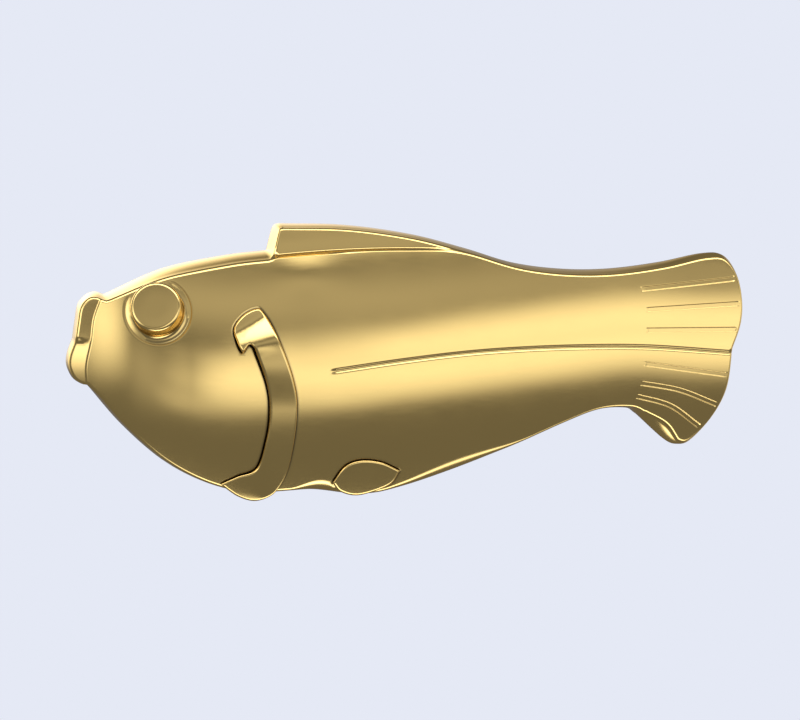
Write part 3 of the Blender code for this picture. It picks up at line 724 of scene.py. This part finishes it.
def zinc_plated_steel():
    """Bright zinc plate on steel: a blue-grey sheen, with 2.4 mm clouds from the bath."""
    material = bpy.data.materials.new("zinc_plated_steel")
    material.use_nodes = True
    tree = material.node_tree
    shader = tree.nodes["Principled BSDF"]
    shader.inputs["Metallic"].default_value = 1.0
    place = node(tree, "ShaderNodeTexCoord")
    cloud = node(tree, "ShaderNodeTexNoise", [("Vector", place, "Object")],
                 Scale=1000 * CLOUDS_PER_MM, Detail=5.0)
    sheen = node(tree, "ShaderNodeMapRange", [("Value", cloud, "Fac")],
                 From_Min=0.3, From_Max=0.7, To_Min=0.24, To_Max=0.4)
    tint = node(tree, "ShaderNodeValToRGB", [("Fac", cloud, "Fac")])
    tint.color_ramp.elements[0].position, tint.color_ramp.elements[1].position = 0.35, 0.65
    tint.color_ramp.elements[0].color = srgb("#AEB3B8")
    tint.color_ramp.elements[1].color = srgb("#C6C9C8")
    tree.links.new(sheen.outputs["Result"], shader.inputs["Roughness"])
    tree.links.new(tint.outputs["Color"], shader.inputs["Base Color"])
    return material


zinc = zinc_plated_steel()


def ring_of(centre, radius, count):
    """A circle of points; the radius may also be one value for each point."""
    turn = 2 * np.pi * np.arange(count) / count
    return np.array(centre) + np.column_stack([np.cos(turn), np.sin(turn)]) * np.reshape(radius, (-1, 1))


def bored(outside, through=(), blind=()):
    """A plate from rings of (loop, height), lowest first, with through holes and blind ones from below."""
    none = np.empty((0, 2))
    parts = []
    for rings in (outside, *through, *blind):
        parts.append(strip([at_height(loop, z) for loop, z in rings]))
    low_flat, low_faces = fill([outside[0][0]] + [rings[0][0] for rings in (*through, *blind)], none)
    parts.append((at_height(low_flat, outside[0][1]), low_faces))
    high_flat, high_faces = fill([outside[-1][0]] + [rings[-1][0] for rings in through], none)
    parts.append((at_height(high_flat, outside[-1][1]), high_faces))
    for rings in blind:
        end_flat, end_faces = fill([rings[-1][0]], none)
        parts.append((at_height(end_flat, rings[-1][1]), end_faces))
    return joined(*parts)


def push_nut(name, replaced, foot, axis, pin_radius):
    """A ring with six gaps between its teeth, placed on a pin's axis."""
    teeth = pin_radius + GAP + TOOTH_GAP * (np.arange(NUT_POINTS) % 12 < 3)
    outer = pin_radius + NUT_WIDTH
    edge = [(outer - NUT_BEVEL, 0.0), (outer, NUT_BEVEL), (outer, NUT_THICK - NUT_BEVEL),
            (outer - NUT_BEVEL, NUT_THICK)]
    rim = [(ring_of((0, 0), r, NUT_POINTS), z) for r, z in edge]
    hole = [(ring_of((0, 0), teeth, NUT_POINTS), z) for z in (0.0, NUT_THICK)]
    points, faces = bored(rim, [hole])
    made = piece(name, placed(points, foot, axis), faces, zinc)
    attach(made, "root")
    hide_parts(replaced)


eye_base = np.array([*EYE, crown(*EYE)])
push_nut("eye_spring_nut", "eye_push_nut", eye_base - eye_axis * (EYE_SINK + WALL + EYE_NUT_DROP),
         eye_axis, EYE_PIN_RADIUS)
for i, pin in enumerate(GILL_PINS):
    push_nut(f"gill_spring_nut_{i + 1}", f"gill_push_nut_{i + 1}",
             np.array([*pin, crown(*pin) - WALL - GILL_NUT_DROP]), (0, 0, 1), PIN_RADIUS)


# ---- The cap lifter ------------------------------------------------------------------------------------
# A plate blanked from 2 mm steel, with rounded edges and a hollowed tooth that catches the cap's skirt.
# It is plated with bright zinc and lies in the seat between the casting and the back plate.
LIFTER_THICK = 2.0
LIFTER_LENGTH = 16.0
LIFTER_HALF_WIDTH = 9.5
LIFTER_CENTRE_Y = -1.5
LIFTER_SCREWS = [(-2.0, LIFTER_CENTRE_Y + 5.5), (-2.0, LIFTER_CENTRE_Y - 5.5)]
WINDOW_EDGE = -10.0
TOOTH = 3.2
TOOTH_HALF_WIDTH = 5.5
TOOTH_HOLLOW = 0.9
SHOULDER = 0.8
SCREW_RADIUS = 1.1
SCREW_HEAD = 2.3
SCREW_HEAD_DEPTH = 1.2


def rounded_polygon(corners, radii, steps=6):
    """A loop with round corners, from its sharp corners in anticlockwise order."""
    corners = np.array(corners, float)
    made = []
    for before, corner, after, radius in zip(np.roll(corners, 1, 0), corners, np.roll(corners, -1, 0), radii):
        a = (before - corner) / np.linalg.norm(before - corner)
        b = (after - corner) / np.linalg.norm(after - corner)
        half = math.acos(np.clip(a @ b, -1, 1)) / 2
        if radius == 0:
            made.append(corner[None])
            continue
        start, end = corner + a * radius / math.tan(half), corner + b * radius / math.tan(half)
        middle = corner + (a + b) / np.linalg.norm(a + b) * radius / math.sin(half)
        first, last = (np.arctan2(*(p - middle)[::-1]) for p in (start, end))
        sweep = (last - first + np.pi) % (2 * np.pi) - np.pi
        turn = first + sweep * np.linspace(0, 1, steps)
        made.append(middle + radius * np.column_stack([np.cos(turn), np.sin(turn)]))
    return np.vstack(made)


def soft_edge(loop, low, high, radius, steps=4):
    """Rings for a plate's edge with a small radius at both faces."""
    turns = np.linspace(0, np.pi / 2, steps)
    rings = [(loop - outward(loop) * radius * (1 - math.sin(t)), low + radius * (1 - math.cos(t)))
             for t in turns]
    rings += [(loop - outward(loop) * radius * (1 - math.sin(t)), high - radius * (1 - math.cos(t)))
              for t in turns[::-1]]
    return rings


def hole_edge(loop, low, high, radius, steps=4):
    """The same for a hole whose loop also runs anticlockwise."""
    return [(2 * loop - ring, z) for ring, z in soft_edge(loop, low, high, radius, steps)]


def screw_sink(place, low, high):
    """Rings of a countersunk clearance hole, from below."""
    wide, narrow = SCREW_HEAD + GAP, SCREW_RADIUS + GAP
    return [(ring_of(place, r, 48), z) for r, z in ((wide + 0.1, low), (wide, low + 0.1), (wide, low + 0.3),
                                                    (narrow, low + SCREW_HEAD_DEPTH + 0.3), (narrow, high))]


far = WINDOW_EDGE + LIFTER_LENGTH
low_y, high_y = LIFTER_CENTRE_Y - LIFTER_HALF_WIDTH, LIFTER_CENTRE_Y + LIFTER_HALF_WIDTH
tooth = []
for side in np.linspace(1, -1, 13):
    edge_x = WINDOW_EDGE - TOOTH + TOOTH_HOLLOW * side * side
    tooth.append((edge_x, LIFTER_CENTRE_Y + TOOTH_HALF_WIDTH * side))
lifter_corners = [(WINDOW_EDGE + SHOULDER, low_y), (far, low_y), (far, high_y),
                  (WINDOW_EDGE + SHOULDER, high_y), *tooth]
lifter_radii = [1.5, 3.0, 3.0, 1.5, 0.8] + [0] * 11 + [0.8]
lifter_loop = rounded_polygon(lifter_corners, lifter_radii)
lifter_points, lifter_faces = bored(soft_edge(lifter_loop, SEAT, SEAT + LIFTER_THICK, 0.3),
                                    [screw_sink(place, SEAT, SEAT + LIFTER_THICK) for place in LIFTER_SCREWS])
cap_lifter = piece("steel_lifter", lifter_points, lifter_faces, zinc)
keep_flat(cap_lifter, SEAT, SEAT + LIFTER_THICK)
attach(cap_lifter, "root")
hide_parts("cap_lifter")


# ---- The back plate ------------------------------------------------------------------------------------
# Rolled brass sheet, 2.2 mm thick, blanked to the shape of the body and brushed along its length.
# It has the window for the crown cap, five countersunk holes and two pockets for magnets.
WINDOW = (-34.0, -10.0, -18.0, 15.0)
WINDOW_CORNER = 8.0
COVER_SCREWS = [(-39.0, 12.0), (-39.0, -13.5), (9.0, 15.0), (9.0, -14.5), (37.0, 3.2)]
MAGNETS = [(-46.5, 0.5), (23.5, 1.5)]
MAGNET_RADIUS = 6.0
MAGNET_THICK = 1.3
SCRATCHES_PER_MM = (0.072, 5.4, 5.4)


def brushed_brass():
    """Rolled brass brushed with a belt along the fish: long fine scratches that spread the light across.

    They are 14 mm long and 0.19 mm apart, which is coarser than a belt leaves, so that they show.
    """
    material = bpy.data.materials.new("brushed_rolled_brass")
    material.use_nodes = True
    tree = material.node_tree
    shader = tree.nodes["Principled BSDF"]
    shader.inputs["Metallic"].default_value = 1.0
    place = node(tree, "ShaderNodeTexCoord")
    drawn = node(tree, "ShaderNodeMapping", [("Vector", place, "Object")],
                 Scale=tuple(1000 * n for n in SCRATCHES_PER_MM))
    lines = node(tree, "ShaderNodeTexNoise", [("Vector", drawn, "Vector")], Scale=1.0, Detail=6.0)
    grain = node(tree, "ShaderNodeMapRange", [("Value", lines, "Fac")],
                 From_Min=0.3, From_Max=0.7, To_Min=0.26, To_Max=0.42)
    tint = node(tree, "ShaderNodeValToRGB", [("Fac", lines, "Fac")])
    tint.color_ramp.elements[0].position, tint.color_ramp.elements[1].position = 0.3, 0.7
    tint.color_ramp.elements[0].color = srgb("#DDBB6F")
    tint.color_ramp.elements[1].color = srgb("#EFCF87")
    relief = node(tree, "ShaderNodeBump", [("Height", lines, "Fac")], Strength=0.25, Distance=0.00002)
    tree.links.new(grain.outputs["Result"], shader.inputs["Roughness"])
    tree.links.new(tint.outputs["Color"], shader.inputs["Base Color"])
    tree.links.new(relief.outputs["Normal"], shader.inputs["Normal"])
    return material


window_low_x, window_high_x, window_low_y, window_high_y = WINDOW
window_loop = rounded_polygon([(window_low_x, window_low_y), (window_high_x, window_low_y),
                               (window_high_x, window_high_y), (window_low_x, window_high_y)],
                              [WINDOW_CORNER] * 4, 14)
pocket = MAGNET_RADIUS + GAP
pocket_edge = [(pocket + 0.1, 0.0), (pocket, 0.1), (pocket, MAGNET_THICK + GAP)]
pockets = [[(ring_of(place, r, 72), z) for r, z in pocket_edge] for place in MAGNETS]
plate_points, plate_faces = bored(soft_edge(inner_outline(PLATE_MARGIN), 0.0, PLATE_THICK, 0.2),
                                  [hole_edge(window_loop, 0.0, PLATE_THICK, 0.3)]
                                  + [screw_sink(place, 0.0, PLATE_THICK) for place in COVER_SCREWS], pockets)
back_plate = piece("brushed_back_plate", plate_points, plate_faces, brushed_brass())
keep_flat(back_plate, 0.0, PLATE_THICK)
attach(back_plate, "root")
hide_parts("back_plate")


# ---- The screws ----------------------------------------------------------------------------------------
# Seven zinc-plated steel machine screws with countersunk heads and cross recesses.
# Five hold the back plate to bosses in the casting and two hold the lifter.
COVER_SCREW_LENGTH = 5.4
LIFTER_SCREW_LENGTH = 5.0
HEAD_FACE = 0.05
RECESS_ARM = 1.25
RECESS_HALF = 0.3
RECESS_DEPTH = 0.7


def cross_loop(arm, half):
    """The outline of a cross, from the length and half width of its arms."""
    corners = []
    for k in range(4):
        c, s = round(math.cos(math.pi / 2 * k)), round(math.sin(math.pi / 2 * k))
        for along_arm, across in ((arm, -half), (arm, half), (half, half)):
            corners.append((along_arm * c - across * s, along_arm * s + across * c))
    return np.array(corners)


def screw(name, replaced, place, foot, length):
    """A screw with its head down, from rings of (radius, height), and its recess from smaller crosses."""
    rings = [(SCREW_HEAD - 0.12, HEAD_FACE), (SCREW_HEAD, 0.13), (SCREW_HEAD, 0.28),
             (SCREW_RADIUS, SCREW_HEAD_DEPTH), (SCREW_RADIUS, length - 0.5), (SCREW_RADIUS * 0.6, length)]
    recess = [(cross_loop(RECESS_ARM * long, RECESS_HALF * wide), z)
              for long, wide, z in ((1, 1, HEAD_FACE), (0.85, 0.8, 0.2), (0.5, 0.6, RECESS_DEPTH))]
    points, faces = bored([(ring_of((0, 0), r, 48), z) for r, z in rings], (), [recess])
    made = piece(name, points + np.array([*place, foot]), faces, zinc)
    keep_flat(made, foot + HEAD_FACE, foot + length)
    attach(made, "root")
    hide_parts(replaced)


for i, place in enumerate(COVER_SCREWS):
    screw(f"back_screw_{i + 1}", f"cover_screw_{i + 1}", place, 0.0, COVER_SCREW_LENGTH)
for i, place in enumerate(LIFTER_SCREWS):
    screw(f"tooth_screw_{i + 1}", f"lifter_screw_{i + 1}", place, SEAT, LIFTER_SCREW_LENGTH)


# ---- The magnets ---------------------------------------------------------------------------------------
# Two discs of sintered magnet with ground, rounded rims, plated with nickel.
# They are glued into pockets in the back plate, flush with it, to hold the opener on a refrigerator.
MAGNET_RIM = 0.25
GRAINS_PER_MM = 1.4


def nickel_plate():
    """Bright nickel: a warm white mirror with a 0.7 mm grain from the ground disc below."""
    material = bpy.data.materials.new("nickel_plated_magnet")
    material.use_nodes = True
    tree = material.node_tree
    shader = tree.nodes["Principled BSDF"]
    shader.inputs["Metallic"].default_value = 1.0
    shader.inputs["Base Color"].default_value = srgb("#D6D1C6")
    place = node(tree, "ShaderNodeTexCoord")
    grain = node(tree, "ShaderNodeTexNoise", [("Vector", place, "Object")],
                 Scale=1000 * GRAINS_PER_MM, Detail=3.0)
    haze = node(tree, "ShaderNodeMapRange", [("Value", grain, "Fac")],
                From_Min=0.3, From_Max=0.7, To_Min=0.14, To_Max=0.24)
    tree.links.new(haze.outputs["Result"], shader.inputs["Roughness"])
    return material


nickel = nickel_plate()
disc = [(MAGNET_RADIUS * 0.5, 0.0)]
disc += arc((MAGNET_RADIUS - MAGNET_RIM, MAGNET_RIM), MAGNET_RIM, 270, 360, 6)
disc += arc((MAGNET_RADIUS - MAGNET_RIM, MAGNET_THICK - MAGNET_RIM), MAGNET_RIM, 0, 90, 6)
for i, place in enumerate(MAGNETS):
    points, faces = turned(disc, 96)
    magnet = piece(f"nickel_magnet_{i + 1}", points + np.array([*place, 0.0]), faces, nickel)
    keep_flat(magnet, 0.0, MAGNET_THICK)
    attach(magnet, "root")
    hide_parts(f"magnet_{i + 1}")


# ---- The studio ----------------------------------------------------------------------------------------
# Pale paper of one even tone behind and below, and unseen softboxes all round for the brass to mirror.
# The camera looks a little from the head end and from above, through a long lens.
LENS = 100.0
CAMERA_SIDE, CAMERA_UP = math.radians(11.0), math.radians(6.0)
CAMERA_AWAY = 0.411
PAPER = "#E5E9F5"
ROOM_LIGHT = 0.17
SOFTBOX_AWAY = 1.2
FLOOR_HALF, FLOOR_LEVEL = 3.0, -0.09
aim = Vector((-0.00055, -0.004, 0.00037))
toward = Vector((-math.sin(CAMERA_SIDE) * math.cos(CAMERA_UP), -math.cos(CAMERA_SIDE) * math.cos(CAMERA_UP),
                 math.sin(CAMERA_UP)))
camera = bpy.data.objects.new("camera", bpy.data.cameras.new("camera"))
bpy.context.scene.collection.objects.link(camera)
camera.data.lens = LENS
camera.location = aim + toward * CAMERA_AWAY
camera.rotation_euler = toward.to_track_quat("Z", "Y").to_euler()
camera.data.clip_start = 0.01
bpy.context.scene.camera = camera
bpy.context.scene.view_settings.view_transform = "Standard"


def softbox(name, azimuth, elevation, wide, high, radiance, feather):
    """A lit cloth panel aimed at the fish, its size in degrees as seen from there.

    Azimuth 0 is in front and 90 on the tail side.  The light fades out over a share of the width at the
    sides and over half the height above and below.
    """
    half_w = math.tan(math.radians(wide / 2)) * SOFTBOX_AWAY
    half_h = math.tan(math.radians(high / 2)) * SOFTBOX_AWAY
    mesh = bpy.data.meshes.new(name)
    mesh.from_pydata([(-half_w, -half_h, 0), (half_w, -half_h, 0), (half_w, half_h, 0), (-half_w, half_h, 0)],
                     [], [(0, 1, 2, 3)])
    cloth = bpy.data.materials.new(name + "_cloth")
    cloth.use_nodes = True
    tree = cloth.node_tree
    tree.nodes.clear()
    place = node(tree, "ShaderNodeTexCoord")
    split = node(tree, "ShaderNodeSeparateXYZ", [("Vector", place, "Generated")])
    product = None
    for axis, soft in (("X", feather), ("Y", 0.5)):
        away = node(tree, "ShaderNodeMath", [(0, split, axis)], operation="PINGPONG")
        away.inputs[1].default_value = 0.5
        fade = node(tree, "ShaderNodeMapRange", [("Value", away, 0)], interpolation_type="SMOOTHSTEP",
                    From_Min=0.0, From_Max=soft, To_Min=0.0, To_Max=1.0)
        if product is None:
            product = fade
        else:
            product = node(tree, "ShaderNodeMath", [(0, product, 0), (1, fade, 0)], operation="MULTIPLY")
    level = node(tree, "ShaderNodeMath", [(0, product, 0)], operation="MULTIPLY")
    level.inputs[1].default_value = radiance
    glow = node(tree, "ShaderNodeEmission", [("Strength", level, 0)])
    clear = node(tree, "ShaderNodeBsdfTransparent")
    both = node(tree, "ShaderNodeAddShader", [(0, glow, "Emission"), (1, clear, "BSDF")])
    node(tree, "ShaderNodeOutputMaterial", [("Surface", both, "Shader")])
    mesh.materials.append(cloth)
    made = bpy.data.objects.new(name, mesh)
    bpy.context.scene.collection.objects.link(made)
    a, e = math.radians(azimuth), math.radians(elevation)
    back = Vector((math.sin(a) * math.cos(e), -math.cos(a) * math.cos(e), math.sin(e)))
    made.location = back * SOFTBOX_AWAY
    made.rotation_euler = back.to_track_quat("Z", "Y").to_euler()
    made.visible_camera = False
    return made


# Name, azimuth, elevation, width and height in degrees, radiance, share of the width that fades
PANELS = [
    ("front_mid", 24, -11.5, 84, 26, 1.0, 0.25),
    ("front_level", 26, 0, 80, 26, 1.0, 0.25),
    ("front_low", -3, -20, 44, 17, 0.42, 0.3),
    ("front_high", 36, 11, 76, 23, 1.0, 0.3),
    ("front_left", -26, -8, 44, 50, 0.26, 0.5),
    ("left", -60, 10, 56, 60, 2.1, 0.5),
    ("upper", 5, 30, 110, 42, 0.32, 0.5),
    ("overhead", 0, 71, 120, 48, 3.3, 0.3),
    ("behind_left", -162, 14, 80, 52, 2.7, 0.5),
    ("behind_nose", -130, 5, 60, 60, 1.3, 0.5),
    ("behind_right", 134, -8, 56, 70, 0.8, 0.5),
    ("right", 88, 5, 50, 80, 0.9, 0.5),
    ("floor_bounce", 20, -80, 84, 36, 3.1, 0.4),
]
for panel in PANELS:
    softbox(*panel)

world = bpy.data.worlds.new("studio")
bpy.context.scene.world = world
world.use_nodes = True
tree = world.node_tree
tree.nodes.clear()
path = node(tree, "ShaderNodeLightPath")
seen = node(tree, "ShaderNodeBackground", Color=srgb(PAPER), Strength=1.0)
dim = node(tree, "ShaderNodeBackground", Color=srgb("#FFFFFF"), Strength=ROOM_LIGHT)
both = node(tree, "ShaderNodeMixShader", [("Fac", path, "Is Camera Ray")])
tree.links.new(dim.outputs[0], both.inputs[1])
tree.links.new(seen.outputs[0], both.inputs[2])
node(tree, "ShaderNodeOutputWorld", [("Surface", both, "Shader")])

floor_mesh = bpy.data.meshes.new("floor")
corners = [(x * FLOOR_HALF, y * FLOOR_HALF, FLOOR_LEVEL) for x, y in ((-1, -1), (1, -1), (1, 1), (-1, 1))]
floor_mesh.from_pydata(corners, [], [(0, 1, 2, 3)])
floor = bpy.data.objects.new("floor", floor_mesh)
bpy.context.scene.collection.objects.link(floor)
paper = bpy.data.materials.new("matt_paper")
paper.use_nodes = True
tree = paper.node_tree
tree.nodes.clear()
glow = node(tree, "ShaderNodeEmission", Color=srgb(PAPER), Strength=1.0)
node(tree, "ShaderNodeOutputMaterial", [("Surface", glow, "Emission")])
floor_mesh.materials.append(paper)
floor.visible_glossy = False
floor.visible_diffuse = False
